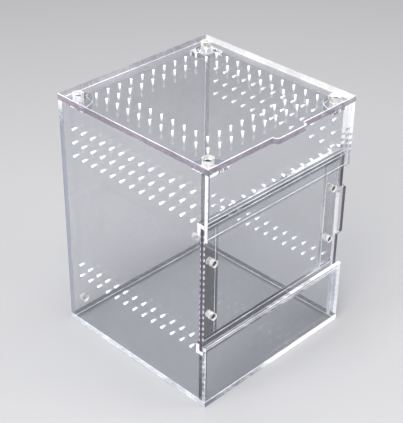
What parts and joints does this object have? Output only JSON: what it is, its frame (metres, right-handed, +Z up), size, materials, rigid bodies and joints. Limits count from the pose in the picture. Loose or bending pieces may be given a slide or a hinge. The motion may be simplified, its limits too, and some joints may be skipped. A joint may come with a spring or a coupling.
{
  "type": "clear acrylic insect enclosure with a sliding door and magnetic lid",
  "caption": "Clear acrylic display box for small invertebrates, with drilled vents, a sliding front door in two channels and a lift-off lid held by magnets.",
  "frame": {"origin": "middle of the underside of the base", "axes": "+Z up to the lid, -Y out of the front where the door is, +X the way the door slides open"},
  "size_m": [0.1525, 0.154, 0.2],
  "materials": {
    "clear_acrylic": "polished clear acrylic with laser-cut edges",
    "nickel_magnet": "bright nickel plating"
  },
  "bodies": {
    "box": {"base_panel": "clear_acrylic", "left_wall": "clear_acrylic", "right_wall": "clear_acrylic", "back_wall": "clear_acrylic", "front_upper_panel": "clear_acrylic", "front_lower_panel": "clear_acrylic", "left_upper_spacer": "clear_acrylic", "left_lower_spacer": "clear_acrylic", "right_upper_spacer": "clear_acrylic", "right_lower_spacer": "clear_acrylic", "upper_channel_spacer": "clear_acrylic", "upper_channel_rear_strip": "clear_acrylic", "lower_channel_spacer": "clear_acrylic", "lower_channel_rear_strip": "clear_acrylic", "left_magnet_strip": "clear_acrylic", "right_magnet_strip": "clear_acrylic", "left_strip_magnet_1": "nickel_magnet", "left_strip_magnet_2": "nickel_magnet", "right_strip_magnet_1": "nickel_magnet", "right_strip_magnet_2": "nickel_magnet", "front_left_gusset": "clear_acrylic", "front_right_gusset": "clear_acrylic", "back_right_gusset": "clear_acrylic", "back_left_gusset": "clear_acrylic", "front_left_gusset_magnet": "nickel_magnet", "front_right_gusset_magnet": "nickel_magnet", "back_right_gusset_magnet": "nickel_magnet", "back_left_gusset_magnet": "nickel_magnet", "left_back_magnet": "nickel_magnet", "right_back_magnet": "nickel_magnet"},
    "door": {"door_panel": "clear_acrylic", "left_door_magnet_1": "nickel_magnet", "left_door_magnet_2": "nickel_magnet", "right_door_magnet_1": "nickel_magnet", "right_door_magnet_2": "nickel_magnet"},
    "lid": {"lid_panel": "clear_acrylic", "front_left_lid_magnet": "nickel_magnet", "front_right_lid_magnet": "nickel_magnet", "back_right_lid_magnet": "nickel_magnet", "back_left_lid_magnet": "nickel_magnet"}
  },
  "joints": [
    {"name": "door_slide", "type": "slide", "parent": "box", "child": "door", "axis": [1, 0, 0], "range_m": [0, 0.1265]},
    {"name": "lid_lift", "type": "slide", "parent": "box", "child": "lid", "axis": [0, 0, 1], "range_m": [0, 0.06]}
  ]
}
